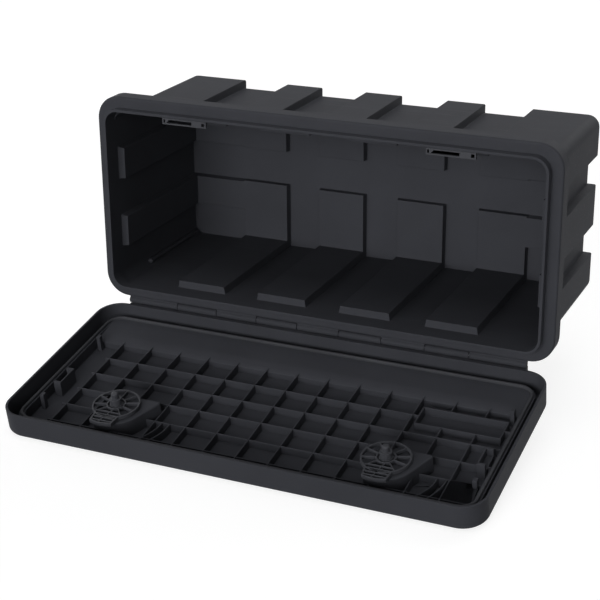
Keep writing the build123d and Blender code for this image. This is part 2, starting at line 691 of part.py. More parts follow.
def make_bush(x):
    """The flanged bush for a spindle."""
    bore = SPINDLE_RADIUS + SPINDLE_CLEARANCE
    bush = disc(x, LATCH_Z, bore + BUSH_WALL, CUP_ROOF_Y, CUP_TOP_Y)
    bush += disc(x, LATCH_Z, BUSH_FLANGE_RADIUS, CUP_TOP_Y, CUP_TOP_Y + BUSH_FLANGE)
    bush -= disc(x, LATCH_Z, bore, CUP_ROOF_Y - CUT, CUP_TOP_Y + BUSH_FLANGE + CUT)
    return open_door(bush)


def make_sealing_washer(x):
    """The rubber washer between a handle cup and its handle."""
    washer = disc(x, LATCH_Z, WASHER_RADIUS, WASHER_Y, CUP_ROOF_Y)
    washer -= disc(x, LATCH_Z, SPINDLE_RADIUS + WASHER_CLEARANCE, WASHER_Y - CUT, CUP_ROOF_Y + CUT)
    return open_door(washer)


def square_bar(x, grow, y_front, y_back):
    """The square drive of a spindle, or its hole when grown."""
    side = SQUARE_SIDE + 2 * grow
    return prism(Pos(x, LATCH_Z) * Rectangle(side, side), y_front, y_back)


def make_spindle(x):
    """Square drive into the handle, round journal, square for the cam and a threaded end."""
    spindle = square_bar(x, 0, HUB_Y - SOCKET_DEPTH, CAM_TOP_Y - SQUARE_CLEARANCE)
    spindle += disc(x, LATCH_Z, SPINDLE_RADIUS, HUB_Y, CAM_UNDER_Y)
    spindle += disc(x, LATCH_Z, THREAD_RADIUS, CAM_UNDER_Y, CAM_TOP_Y + THREAD_LENGTH)
    return open_door(spindle)


def cam_outline(inset):
    """Head and arm of a cam, drawn in by an amount, about its own centre."""
    head = Circle(CAM_HEAD_RADIUS - inset)
    root = CAM_ARM_ROOT / 2 - inset
    tip = CAM_ARM_TIP / 2 - inset
    arm = Polygon((-root, 0), (root, 0), (tip, CAM_REACH), (-tip, CAM_REACH), align=None)
    return head + (arm & Circle(CAM_REACH - inset))


def make_cam(x):
    """A latch cam: an open wheel with a rim, spokes, hub and collar, and an open ribbed arm."""
    place = Pos(x, LATCH_Z)
    cam = prism(place * Circle(CAM_COLLAR_RADIUS), CAM_UNDER_Y, CAM_UNDER_Y + CAM_PLATE)
    ribs = cam_outline(0) - cam_outline(CAM_RIM)
    head = Circle(CAM_HEAD_RADIUS)
    ribs += head - Circle(CAM_HEAD_RADIUS - CAM_RIM)
    ribs += Circle(CAM_HUB_RADIUS)
    ribs += Circle(CAM_COLLAR_RADIUS) - Circle(CAM_COLLAR_RADIUS - CAM_COLLAR_WALL)
    spoke_start = CAM_COLLAR_RADIUS - CAM_COLLAR_WALL / 2
    spoke_length = CAM_HEAD_RADIUS - CAM_RIM / 2 - spoke_start
    spoke = Pos(0, spoke_start + spoke_length / 2) * Rectangle(CAM_RIB, spoke_length)
    for i in range(CAM_SPOKES):
        turn = CAM_ARM_SECTOR / 2 + i * (360 - CAM_ARM_SECTOR) / (CAM_SPOKES - 1)
        ribs += Rot(0, 0, turn) * spoke
    spread = CAM_REACH * tan(radians(CAM_ARM_SECTOR / 2))
    sector = Polygon((0, 0), (spread, CAM_REACH), (-spread, CAM_REACH), align=None)
    arm_length = CAM_REACH - CAM_COLLAR_RADIUS
    arm_step = arm_length / (CAM_ARM_RIBS + 1)
    cross = Rot(0, 0, CAM_ARM_SLANT) * Rectangle(CAM_RIB, arm_length)
    cross = Pos(0, CAM_COLLAR_RADIUS + arm_length / 2) * cross
    for i in range(CAM_ARM_RIBS):
        height = CAM_COLLAR_RADIUS + (i + 1) * arm_step
        cross += Pos(0, height) * Rectangle(CAM_ARM_ROOT, CAM_RIB)
    ribs += cross & sector & cam_outline(CAM_RIM / 2)
    ribs &= cam_outline(0)
    cam += prism(place * ribs, CAM_UNDER_Y, CAM_TOP_Y)
    cam -= square_bar(x, SQUARE_CLEARANCE / 2, CAM_UNDER_Y - CUT, CAM_TOP_Y + CUT)
    return open_door(cam)


def make_cam_nut(x):
    """The capped nut that clamps a cam on its spindle."""
    collar_top = CAM_TOP_Y + NUT_COLLAR_HEIGHT
    cap = disc(x, LATCH_Z, NUT_CAP_RADIUS, CAM_TOP_Y, collar_top + NUT_CAP_HEIGHT)
    cap = fillet(cap.faces().sort_by(Axis.Y)[-1].edges(), NUT_CAP_ROUNDING)
    nut = cap + disc(x, LATCH_Z, NUT_COLLAR_RADIUS, CAM_TOP_Y, collar_top)
    bore = THREAD_RADIUS + THREAD_CLEARANCE
    bore_end = CAM_TOP_Y + THREAD_LENGTH + THREAD_CLEARANCE
    return open_door(nut - disc(x, LATCH_Z, bore, CAM_TOP_Y - CUT, bore_end))


def make_handle(x):
    """The turn handle outside, with a socket for the spindle and a bore for the key barrel."""
    handle = disc(x, LATCH_Z, HANDLE_HUB_RADIUS, HANDLE_FACE_Y, HUB_Y)
    round_end = HANDLE_REACH - HANDLE_WIDTH / 2
    lever = Pos(x + round_end / 2, LATCH_Z) * Rectangle(round_end, HANDLE_WIDTH)
    lever += Pos(x + round_end, LATCH_Z) * Circle(HANDLE_WIDTH / 2)
    handle += prism(lever, HANDLE_FACE_Y, HANDLE_FACE_Y + HANDLE_THICKNESS)
    handle = fillet(handle.faces().sort_by(Axis.Y)[0].edges(), HANDLE_ROUNDING)
    handle -= square_bar(x, SQUARE_CLEARANCE / 2, HUB_Y - SOCKET_DEPTH, HUB_Y + CUT)
    bore = BARREL_RADIUS + BARREL_CLEARANCE
    handle -= disc(x, LATCH_Z, bore, HANDLE_FACE_Y - CUT, HANDLE_FACE_Y + BARREL_LENGTH)
    return open_door(handle)


def make_lock_barrel(x):
    """The key barrel in a handle, with a plain key slot."""
    barrel = disc(x, LATCH_Z, BARREL_RADIUS, HANDLE_FACE_Y, HANDLE_FACE_Y + BARREL_LENGTH)
    slot = Pos(x, LATCH_Z) * Rectangle(KEY_SLOT_WIDTH, KEY_SLOT_LENGTH)
    barrel -= prism(slot, HANDLE_FACE_Y - CUT, HANDLE_FACE_Y + KEY_SLOT_DEPTH)
    return open_door(barrel)


def make_parts():
    """Every piece by name."""
    parts = {
        "box_shell": make_box_shell(),
        "hinge_pin": make_hinge_pin(),
        "hinge_pin_plugs": make_hinge_pin_plugs(),
        "keeper_screws": make_keeper_screws(),
        "door_shell": make_door_shell(),
        "door_seal": make_door_seal(),
    }
    for name, x in (("left", -LATCH_X), ("right", LATCH_X)):
        parts[name + "_keeper"] = make_keeper(x)
        parts[name + "_handle_cup"] = make_handle_cup(x)
        parts[name + "_bush"] = make_bush(x)
        parts[name + "_sealing_washer"] = make_sealing_washer(x)
        parts[name + "_spindle"] = make_spindle(x)
        parts[name + "_cam"] = make_cam(x)
        parts[name + "_cam_nut"] = make_cam_nut(x)
        parts[name + "_handle"] = make_handle(x)
        parts[name + "_lock_barrel"] = make_lock_barrel(x)
    return parts


os.makedirs("parts", exist_ok=True)
for node, piece in make_parts().items():
    export_step(piece, "parts/" + node + ".step")
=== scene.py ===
# %% [markdown]
# # A truck toolbox with a drop-down tray door
# The frame holds every piece of the toolbox at its real size and place, in metres.
# This lesson gives the pieces their looks: soft moulded edges, grained plastic, rubber and plated
# steel. The box round the bare frame is kept first, and the floor is laid just below it.

# %% Load the frame
import json
from math import cos, pi, radians, sin

import bmesh
import bpy
from mathutils import Matrix, Vector

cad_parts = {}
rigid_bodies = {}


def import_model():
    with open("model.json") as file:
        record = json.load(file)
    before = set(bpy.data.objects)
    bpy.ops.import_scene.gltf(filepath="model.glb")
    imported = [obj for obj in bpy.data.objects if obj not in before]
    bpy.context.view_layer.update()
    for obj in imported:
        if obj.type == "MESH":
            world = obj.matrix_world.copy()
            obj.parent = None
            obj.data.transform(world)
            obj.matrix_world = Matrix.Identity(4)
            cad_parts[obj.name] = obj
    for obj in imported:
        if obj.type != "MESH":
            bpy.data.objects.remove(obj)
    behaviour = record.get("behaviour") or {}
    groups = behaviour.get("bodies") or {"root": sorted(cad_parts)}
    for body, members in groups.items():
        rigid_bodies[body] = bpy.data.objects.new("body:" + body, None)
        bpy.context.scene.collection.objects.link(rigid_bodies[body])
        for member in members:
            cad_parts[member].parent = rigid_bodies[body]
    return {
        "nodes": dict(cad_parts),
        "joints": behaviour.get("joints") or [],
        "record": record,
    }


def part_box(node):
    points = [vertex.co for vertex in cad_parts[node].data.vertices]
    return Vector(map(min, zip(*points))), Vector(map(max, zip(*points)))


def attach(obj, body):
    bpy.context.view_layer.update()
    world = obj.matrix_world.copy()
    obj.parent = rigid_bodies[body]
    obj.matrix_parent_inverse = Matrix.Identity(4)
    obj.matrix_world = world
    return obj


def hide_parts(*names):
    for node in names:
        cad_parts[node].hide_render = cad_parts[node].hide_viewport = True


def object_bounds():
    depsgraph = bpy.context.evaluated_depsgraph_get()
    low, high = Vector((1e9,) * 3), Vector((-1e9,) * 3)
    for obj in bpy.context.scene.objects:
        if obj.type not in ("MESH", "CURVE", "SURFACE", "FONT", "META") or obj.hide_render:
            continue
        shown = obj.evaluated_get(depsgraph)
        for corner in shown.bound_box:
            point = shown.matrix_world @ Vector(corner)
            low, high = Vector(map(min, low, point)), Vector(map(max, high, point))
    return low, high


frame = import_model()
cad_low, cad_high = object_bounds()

nodes = frame["nodes"]
bodies = frame["record"]["behaviour"]["bodies"]
body_of = {name: body for body, names in bodies.items() for name in names}
slot_of = {part["node"]: part["material_slot"] for part in frame["record"]["subparts"]}

# %% [markdown]
# ## Camera
# The photo looks down into the open box from the right, through a long lens.
# A Track To constraint could point the camera. Three plain angles are easier to read and to change:
# how far it turns about the vertical, how far it looks down, and a trace of roll.
# Its picture was set against the box's own edges, and it keeps the whole box inside the frame.

# %% Camera
CAMERA_PLACE = (0.9498, -2.4486, 0.8106)
CAMERA_TURN = 24.47
CAMERA_DOWN = 21.656
CAMERA_ROLL = -0.5
CAMERA_LENS = 92.7

aim = Matrix.Rotation(radians(CAMERA_TURN), 4, "Z")
aim @= Matrix.Rotation(radians(90 - CAMERA_DOWN), 4, "X")
aim @= Matrix.Rotation(radians(CAMERA_ROLL), 4, "Z")
bpy.ops.object.select_all(action="DESELECT")
bpy.ops.object.camera_add(location=CAMERA_PLACE, rotation=aim.to_euler())
camera = bpy.context.object
camera.data.lens = CAMERA_LENS
bpy.context.scene.camera = camera
bpy.context.scene.view_settings.view_transform = "Standard"
print("camera:", CAMERA_LENS, "mm lens, looking down", CAMERA_DOWN, "degrees")

# %% [markdown]
# ## Node helpers
# Every finish below is a small tree of shader nodes. Adding a node, setting its values and linking
# it takes three lines each time, so one helper does it: a value that is a socket is linked, any
# other value is set. A Mix node has sockets for numbers, vectors and colours under the same names,
# so its colour sockets are asked for by number.

# %% Node helpers
MIX_A = 6
MIX_B = 7
MIX_RESULT = 2


def add(tree, kind, inputs, **settings):
    """Add a shader node, give it its settings, and set or link its inputs."""
    node = tree.nodes.new("ShaderNode" + kind)
    for name, value in settings.items():
        setattr(node, name, value)
    for name, value in inputs.items():
        if isinstance(value, bpy.types.NodeSocket):
            tree.links.new(value, node.inputs[name])
        else:
            node.inputs[name].default_value = value
    return node


def spread(tree, value, low, high, to_low=0.0, to_high=1.0):
    """Stretch the part of a value between two limits onto two others."""
    limits = {"From Min": low, "From Max": high, "To Min": to_low, "To Max": to_high}
    return add(tree, "MapRange", {"Value": value, **limits}).outputs["Result"]


def reckon(tree, operation, first, second):
    """One sum with two values."""
    return add(tree, "Math", {0: first, 1: second}, operation=operation).outputs[0]


def mix(tree, share, first, second):
    """A colour between two colours."""
    inputs = {0: share, MIX_A: first, MIX_B: second}
    return add(tree, "Mix", inputs, data_type="RGBA").outputs[MIX_RESULT]


def seen_directly(tree):
    """A value of 1 for rays from the camera, a mirror or glass, and 0 for light that bounces."""
    path = add(tree, "LightPath", {}).outputs
    mirror = reckon(tree, "MAXIMUM", path["Is Glossy Ray"], path["Is Transmission Ray"])
    return reckon(tree, "MAXIMUM", path["Is Camera Ray"], mirror)


print("helpers: add, spread, reckon, mix, seen_directly")

# %% [markdown]
# ## Floor
# A product photo on white stands on a sheet of paper that runs out of the picture. A wide plane
# does this. Rays from the camera, or from a mirror, see a glow added to the paper, so that it
# reads as white. Light that only bounces doesn't see the glow, so the glow adds none to the
# object, and the shadow stays.

# %% Floor
FLOOR_SIZE = 60
FLOOR_DROP = 0.001
FLOOR_COLOR = (0.35, 0.35, 0.35, 1)
FLOOR_ROUGHNESS = 0.9
FLOOR_GLOW = 0.81
WHITE = (1, 1, 1, 1)

bpy.ops.mesh.primitive_plane_add(size=FLOOR_SIZE, location=(0, 0, cad_low[2] - FLOOR_DROP))
floor = bpy.context.object
floor.name = "floor"

paper = bpy.data.materials.new("white_paper")
paper.use_nodes = True
tree = paper.node_tree
shader = tree.nodes["Principled BSDF"].inputs
shader["Base Color"].default_value = FLOOR_COLOR
shader["Roughness"].default_value = FLOOR_ROUGHNESS
shader["Specular IOR Level"].default_value = 0.0
shader["Emission Color"].default_value = WHITE
glow = reckon(tree, "MULTIPLY", seen_directly(tree), FLOOR_GLOW)
tree.links.new(glow, shader["Emission Strength"])
floor.data.materials.append(paper)
print("floor at", round(floor.location.z, 4))

# %% [markdown]
# ## Light
# In the photo the back wall inside the box is as bright as the outside, the inner left wall is
# nearly black, and the top shines a little. So the main light is wide, low and straight in front.
# Two weaker ones stand low to its left and right, and one hangs above. Two more stand behind, so
# that the back can be seen as well. The shine is the white room, which the shaders reflect.
# Area lamps would fade with distance. Sun lamps with a wide angle act like large soft boxes, but
# light near and far alike. Each is set by the brightness that it gives a white card facing it.

# %% Lamps
LAMP_DISTANCE = 4
LAMP_ANGLE = 40
LAMPS = {
    "front_light": {"turn": 0, "rise": 6, "share": 0.90},
    "left_light": {"turn": -30, "rise": 5, "share": 0.24},
    "right_light": {"turn": 35, "rise": 8, "share": 0.08},
    "top_light": {"turn": 0, "rise": 80, "share": 0.24},
    "back_light": {"turn": 165, "rise": 28, "share": 0.30},
    "back_left_light": {"turn": -115, "rise": 25, "share": 0.20},
}


def soft_light(name, turn, rise, share):
    """A wide soft light. Turn 0 is from the front, 90 from the right. A share of 1 gives white."""
    turn = radians(turn)
    rise = radians(rise)
    towards = Vector((sin(turn) * cos(rise), -cos(turn) * cos(rise), sin(rise)))
    bpy.ops.object.light_add(type="SUN", location=towards * LAMP_DISTANCE)
    lamp = bpy.context.object
    lamp.name = name
    lamp.data.angle = radians(LAMP_ANGLE)
    lamp.data.energy = pi * share
    lamp.rotation_euler = towards.to_track_quat("Z", "Y").to_euler()


for name, settings in LAMPS.items():
    soft_light(name, **settings)

# %% White room
WORLD_FILL = 0.02

world = bpy.data.worlds.new("white_room")
bpy.context.scene.world = world
world.use_nodes = True
tree = world.node_tree
background = tree.nodes["Background"].inputs
background["Color"].default_value = WHITE
strength = spread(tree, seen_directly(tree), 0, 1, WORLD_FILL, 1)
tree.links.new(strength, background["Strength"])
print("world:", world.name)

# %% [markdown]
# ## Shared effect: the grain of a mould
# The steel mould of a plastic part is etched, so the plastic comes out with a fine leathery grain.
# Its colour also clouds a little, where the melt flowed and cooled. A picture could give both, but
# noise has no seams and no end. One group holds it for all the plastics: each gives it its own
# fineness.

# %% Grain group
CLOUD_SCALE = 9.0
CLOUD_RANGE = (0.3, 0.7)
SPECK_SHARE = 0.3
SPECK_RANGE = (0.22, 0.05)


def start_group(name, inputs, outputs):
    """An empty shader group, with the sockets that it is given and the sockets that it fills."""
    tree = bpy.data.node_groups.new(name, "ShaderNodeTree")
    for socket, kind in inputs.items():
        tree.interface.new_socket(socket, in_out="INPUT", socket_type="NodeSocket" + kind)
    for socket in outputs:
        tree.interface.new_socket(socket, in_out="OUTPUT", socket_type="NodeSocketFloat")
    given = tree.nodes.new("NodeGroupInput").outputs
    filled = tree.nodes.new("NodeGroupOutput").inputs
    return tree, given, filled


mould_grain, given, filled = start_group(
    "mould_grain", {"Place": "Vector", "Fineness": "Float"}, ("Grain", "Cloud", "Speck")
)
place = given["Place"]
fine = {"Vector": place, "Scale": given["Fineness"], "Detail": 3.0, "Roughness": 0.6}
mould_grain.links.new(add(mould_grain, "TexNoise", fine).outputs["Fac"], filled["Grain"])
slow = {"Vector": place, "Scale": CLOUD_SCALE, "Detail": 5.0, "Roughness": 0.55, "Distortion": 0.6}
cloud = add(mould_grain, "TexNoise", slow).outputs["Fac"]
mould_grain.links.new(spread(mould_grain, cloud, *CLOUD_RANGE), filled["Cloud"])
coarse = reckon(mould_grain, "MULTIPLY", given["Fineness"], SPECK_SHARE)
cells = add(mould_grain, "TexVoronoi", {"Vector": place, "Scale": coarse}).outputs["Distance"]
mould_grain.links.new(spread(mould_grain, cells, *SPECK_RANGE), filled["Speck"])
print("group:", mould_grain.name)

# %% [markdown]
# ## Shared effect: painted edge highlight
# Outside edges and thin ribs are painted a little paler: a painted highlight, like the thin bright
# line that a round edge catches in light. An artist could paint a mask for that. The Ambient
# Occlusion node finds them by itself: looking inwards, it meets the next face only near an outside
# edge. Noise breaks the painted line up, so that it isn't even.

# %% Edge group
EDGE_RANGE = (0.92, 0.5)
EDGE_SAMPLES = 6
PATCH_SCALE = 70.0
PATCH_RANGE = (0.35, 0.65)
PATCH_SHARES = (0.45, 1.0)

# A mask for the painted highlight: paler colour on outside edges and thin ribs.
painted_edge_highlight, given, filled = start_group(
    "painted_edge_highlight", {"Place": "Vector", "Reach": "Float"}, ("Mask",)
)
inwards = add(
    painted_edge_highlight,
    "AmbientOcclusion",
    {"Distance": given["Reach"]},
    inside=True,
    only_local=True,
    samples=EDGE_SAMPLES,
)
edge = spread(painted_edge_highlight, inwards.outputs["AO"], *EDGE_RANGE)
uneven = {"Vector": given["Place"], "Scale": PATCH_SCALE, "Detail": 4.0}
patches = add(painted_edge_highlight, "TexNoise", uneven).outputs["Fac"]
broken = spread(painted_edge_highlight, patches, *PATCH_RANGE, *PATCH_SHARES)
painted_edge_highlight.links.new(reckon(painted_edge_highlight, "MULTIPLY", edge, broken), filled["Mask"])
print("group:", painted_edge_highlight.name)

# %% [markdown]
# ## Shared effect: rub marks
# Tools slide in and out, and leave short faint streaks that are smoother than the grain about
# them. Streaks could be drawn one by one. Noise that is stretched along one line, and cut off so
# that only its peaks are left, gives any number of them.

# %% Rub group
RUB_STRETCH = (9.0, 170.0, 170.0)
RUB_TURN = (0.2, 0.3, 0.7)
RUB_RANGE = (0.6, 0.72)

rub_marks, given, filled = start_group("rub_marks", {"Place": "Vector"}, ("Mask",))
stretch = {"Vector": given["Place"], "Rotation": RUB_TURN, "Scale": RUB_STRETCH}
stretched = add(rub_marks, "Mapping", stretch).outputs["Vector"]
streaks = add(rub_marks, "TexNoise", {"Vector": stretched, "Scale": 1.0, "Detail": 2.0})
rub_marks.links.new(spread(rub_marks, streaks.outputs["Fac"], *RUB_RANGE), filled["Mask"])
print("group:", rub_marks.name)

# %% [markdown]
# ## Moulded plastics
# The box, door and handle cups are charcoal polyethylene with a touch of blue. The keepers and
# latches are a harder nylon with glass in it, slightly greyer, and its pale fibres show as specks.
# The bushes are slick black acetal. Each could be built by hand in the shader editor. They differ
# only in colour, fineness and gloss, so one function makes all of them.

# %% A moulded finish
EDGE_REACH = 0.0011
GRAIN_DEPTH = 0.0001
GRAIN_RANGE = (0.3, 0.7)
CLOUD_SHADES = (0.93, 1.07)
FLECK_SHADE = 2.0
# How much paler the painted edge highlight makes the colour.
EDGE_HIGHLIGHT_SHADE = 1.2
ROUGHNESS_SWING = 0.05
RUB_SMOOTHING = 0.08


def shade_of(color, factor):
    """A colour made lighter or darker, with the fourth value that a socket needs."""
    return tuple(part * factor for part in color) + (1.0,)


def shades(tree, share, color, factors):
    """A colour that varies between two shades of itself."""
    return mix(tree, share, *[shade_of(color, factor) for factor in factors])


def start_finish(name):
    """A new material, its node tree, the inputs of its shader and its Object coordinates."""
    material = bpy.data.materials.new(name)
    material.use_nodes = True
    tree = material.node_tree
    place = add(tree, "TexCoord", {}).outputs["Object"]
    return material, tree, tree.nodes["Principled BSDF"].inputs, place


def roughen(tree, shader, height, strength, depth):
    """Press a pattern into the surface as a bump."""
    pressed = add(tree, "Bump", {"Height": height, "Strength": strength, "Distance": depth})
    tree.links.new(pressed.outputs["Normal"], shader["Normal"])


def moulded(name, color, fineness, roughness, gloss, bump, fleck):
    """A moulded plastic with clouded colour, flecks, a painted edge highlight, grain and rub marks.
    """
    material, tree, shader, place = start_finish(name)
    pattern = {"Place": place, "Fineness": fineness}
    grain = add(tree, "Group", pattern, node_tree=mould_grain).outputs
    edge = add(tree, "Group", {"Place": place, "Reach": EDGE_REACH}, node_tree=painted_edge_highlight).outputs
    marks = add(tree, "Group", {"Place": place}, node_tree=rub_marks).outputs
    clouded = shades(tree, grain["Cloud"], color, CLOUD_SHADES)
    specks = reckon(tree, "MULTIPLY", grain["Speck"], fleck)
    flecked = mix(tree, specks, clouded, shade_of(color, FLECK_SHADE))
    # Painted highlight: outside edges and thin ribs are mixed towards a paler colour.
    highlighted = mix(tree, edge["Mask"], flecked, shade_of(color, EDGE_HIGHLIGHT_SHADE))
    tree.links.new(highlighted, shader["Base Color"])
    smoothest = roughness - ROUGHNESS_SWING
    roughest = roughness + ROUGHNESS_SWING
    rough = spread(tree, grain["Grain"], *GRAIN_RANGE, smoothest, roughest)
    smoother = reckon(tree, "MULTIPLY", marks["Mask"], RUB_SMOOTHING)
    tree.links.new(reckon(tree, "SUBTRACT", rough, smoother), shader["Roughness"])
    roughen(tree, shader, grain["Grain"], bump, GRAIN_DEPTH)
    shader["Specular IOR Level"].default_value = gloss
    return material


print("helpers: shade_of, shades, start_finish, roughen, moulded")

# %% The four plastics
CHARCOAL = (0.0400, 0.0414, 0.0480)
NYLON = (0.0440, 0.0454, 0.0520)
ACETAL = (0.012, 0.012, 0.013)
SHELL_LOOK = {"fineness": 1500, "roughness": 0.55, "gloss": 0.025, "bump": 0.25, "fleck": 0.08}
KEEPER_LOOK = {"fineness": 1100, "roughness": 0.48, "gloss": 0.10, "bump": 0.20, "fleck": 0.25}
LATCH_LOOK = {"fineness": 1300, "roughness": 0.48, "gloss": 0.10, "bump": 0.20, "fleck": 0.25}
BUSH_LOOK = {"fineness": 2500, "roughness": 0.33, "gloss": 0.40, "bump": 0.08, "fleck": 0.0}

finish = {
    "shell_plastic": moulded("charcoal_polyethylene", CHARCOAL, **SHELL_LOOK),
    "keeper_plastic": moulded("keeper_nylon", NYLON, **KEEPER_LOOK),
    "latch_plastic": moulded("latch_nylon", NYLON, **LATCH_LOOK),
    "bush_plastic": moulded("black_acetal", ACETAL, **BUSH_LOOK),
}
print("plastics:", sorted(finish))

# %% [markdown]
# ## Rubber
# The seal in the door is a soft black rubber cord. New rubber is dull, has tiny pores from the
# extruder, and a grey bloom that comes and goes along it. Pores could be modelled, but they are
# far too many. Here they are Voronoi texture cells, pressed in as a bump, with painted shade in
# each.

# %% Rubber
RUBBER = (0.0400, 0.0412, 0.0465)
RUBBER_FINENESS = 1800
RUBBER_ROUGHNESS = (0.55, 0.68)
RUBBER_GLOSS = 0.08
BLOOM_SHADES = (0.85, 1.2)
PORE_SCALE = 900.0
PORE_RANGE = (0.05, 0.3)
# How dark the painted shade in the pores is.
PORE_PAINTED_SHADE = 0.6
PORE_STRENGTH = 0.3
PORE_DEPTH = 0.00015

material, tree, shader, place = start_finish("seal_rubber")
pattern = {"Place": place, "Fineness": RUBBER_FINENESS}
grain = add(tree, "Group", pattern, node_tree=mould_grain).outputs
bloom = shades(tree, grain["Cloud"], RUBBER, BLOOM_SHADES)
pores = add(tree, "TexVoronoi", {"Vector": place, "Scale": PORE_SCALE}).outputs["Distance"]
between_pores = spread(tree, pores, *PORE_RANGE)
# Painted shade: the middle of each pore is darker, where the bump presses it in.
porous = mix(tree, between_pores, shade_of(RUBBER, PORE_PAINTED_SHADE), bloom)
tree.links.new(porous, shader["Base Color"])
rough = spread(tree, grain["Grain"], *GRAIN_RANGE, *RUBBER_ROUGHNESS)
tree.links.new(rough, shader["Roughness"])
roughen(tree, shader, between_pores, PORE_STRENGTH, PORE_DEPTH)
shader["Specular IOR Level"].default_value = RUBBER_GLOSS
finish["seal_rubber"] = material
print("rubber:", material.name)

# %% [markdown]
# ## Zinc plate
# The hinge pin, spindles and screws are zinc plated: a cool grey with small crystals, each a
# little lighter or duller than the next. A photo of zinc would have to be wrapped round every
# shaft. Voronoi cells fill space by themselves, and each cell's random colour sets its shade and
# its gloss.

# %% Zinc plate
ZINC = (0.55, 0.565, 0.585)
ZINC_FINENESS = 2200
ZINC_ROUGHNESS = (0.3, 0.48)
CRYSTAL_SCALE = 420.0
CRYSTAL_SHADES = (0.85, 1.1)
PIT_SHADE = 0.6
PIT_STRENGTH = 0.1

material, tree, shader, place = start_finish("zinc_plate")
crystals = add(tree, "TexVoronoi", {"Vector": place, "Scale": CRYSTAL_SCALE}).outputs["Color"]
crystal = add(tree, "SeparateColor", {"Color": crystals}).outputs["Red"]
pattern = {"Place": place, "Fineness": ZINC_FINENESS}
grain = add(tree, "Group", pattern, node_tree=mould_grain).outputs
plated = shades(tree, crystal, ZINC, CRYSTAL_SHADES)
pitted = mix(tree, grain["Speck"], plated, shade_of(ZINC, PIT_SHADE))
tree.links.new(pitted, shader["Base Color"])
tree.links.new(spread(tree, crystal, 0, 1, *ZINC_ROUGHNESS), shader["Roughness"])
roughen(tree, shader, grain["Grain"], PIT_STRENGTH, GRAIN_DEPTH)
shader["Metallic"].default_value = 1.0
finish["steel"] = material
print("metal:", material.name)

# %% [markdown]
# ## Brushed nickel
# The key barrels are nickel, brushed in one direction. An anisotropic shader could give the sheen
# alone. Stretched noise gives brush lines that also show in colour and bump.

# %% Brushed nickel
NICKEL = (0.62, 0.61, 0.59)
NICKEL_ROUGHNESS = (0.24, 0.42)
BRUSH_STRETCH = (3000.0, 120.0, 120.0)
BRUSH_SHADES = (0.8, 1.1)
BRUSH_STRENGTH = 0.15

material, tree, shader, place = start_finish("brushed_nickel")
brush = add(tree, "Mapping", {"Vector": place, "Scale": BRUSH_STRETCH}).outputs["Vector"]
lines = add(tree, "TexNoise", {"Vector": brush, "Scale": 1.0, "Detail": 3.0}).outputs["Fac"]
tree.links.new(shades(tree, lines, NICKEL, BRUSH_SHADES), shader["Base Color"])
rough = spread(tree, lines, *GRAIN_RANGE, *NICKEL_ROUGHNESS)
tree.links.new(rough, shader["Roughness"])
roughen(tree, shader, lines, BRUSH_STRENGTH, GRAIN_DEPTH)
shader["Metallic"].default_value = 1.0
finish["lock_metal"] = material
print("finishes:", sorted(finish))

# %% [markdown]
# ## Softened edges
# The frame's meshes have knife-sharp edges. Every moulded edge on the real box is slightly round,
# and that round catches a thin bright line. A bump could fake it, but a real Bevel keeps the line
# in any light. A copy of each mesh is merged to one skin, flat triangles are dissolved to whole
# faces, and edges are bevelled.

# %% A softened copy
SHARP = radians(35)
SMOOTH = radians(40)
FLAT = radians(0.8)
MERGE = 0.00001
EDGE_STEPS = 3


def select_only(piece):
    """Select one piece, make it the active one, and deselect all others."""
    bpy.ops.object.select_all(action="DESELECT")
    piece.select_set(True)
    bpy.context.view_layer.objects.active = piece


def take_place(piece, node):
    """Give a piece the finish and body of the node that it stands for, and hide the node."""
    piece.data.materials.clear()
    piece.data.materials.append(finish[slot_of[node]])
    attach(piece, body_of[node])
    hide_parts(node)


def soften(name, width):
    """A copy of a node with its sharp edges rounded, in its place on its body."""
    piece = bpy.data.objects.new(name + "_rounded", nodes[name].data.copy())
    bpy.context.scene.collection.objects.link(piece)
    select_only(piece)
    bpy.ops.mesh.customdata_custom_splitnormals_clear()
    bpy.ops.object.mode_set(mode="EDIT")
    bpy.ops.mesh.select_all(action="SELECT")
    bpy.ops.mesh.remove_doubles(threshold=MERGE)
    bpy.ops.mesh.dissolve_limited(angle_limit=FLAT)
    bpy.ops.object.mode_set(mode="OBJECT")
    bevel = piece.modifiers.new("round", "BEVEL")
    bevel.width = width
    bevel.segments = EDGE_STEPS
    bevel.limit_method = "ANGLE"
    bevel.angle_limit = SHARP
    bevel.use_clamp_overlap = False
    bpy.ops.object.modifier_apply(modifier="round")
    bpy.ops.object.shade_smooth_by_angle(angle=SMOOTH)
    weighted = piece.modifiers.new("flat faces first", "WEIGHTED_NORMAL")
    weighted.keep_sharp = True
    bpy.ops.object.modifier_apply(modifier="flat faces first")
    take_place(piece, name)
    return piece


print("helpers: select_only, take_place, soften")

# %% Softened copies of the mouldings
ROUNDING = {
    "box_shell": 0.0008,
    "door_shell": 0.0006,
    "cam": 0.0004,
    "keeper": 0.0004,
    "handle_cup": 0.0006,
    "handle": 0.0006,
    "cam_nut": 0.0005,
    "lock_barrel": 0.0003,
    "bush": 0.0003,
    "sealing_washer": 0.0004,
}

rounded = []
for name in sorted(nodes):
    kind = name.removeprefix("left_").removeprefix("right_")
    if kind in ROUNDING:
        rounded.append(soften(name, ROUNDING[kind]))
print("rounded:", [(p.name, len(p.data.polygons)) for p in rounded])

# %% [markdown]
# ## Selecting by place
# By hand, faces are picked with the mouse. In a script they are picked by a test: where they lie,
# or which way they face. The mesh is read in edit mode only to mark what is selected; all the
# shaping is done by operators.

# %% Selecting by place
FACING = 0.9
ACROSS = 0.5
LEVEL = 0.1
UP = Vector((0, 0, 1))


def edit(piece):
    """Open one piece in edit mode, with nothing else selected."""
    select_only(piece)
    bpy.ops.object.mode_set(mode="EDIT")


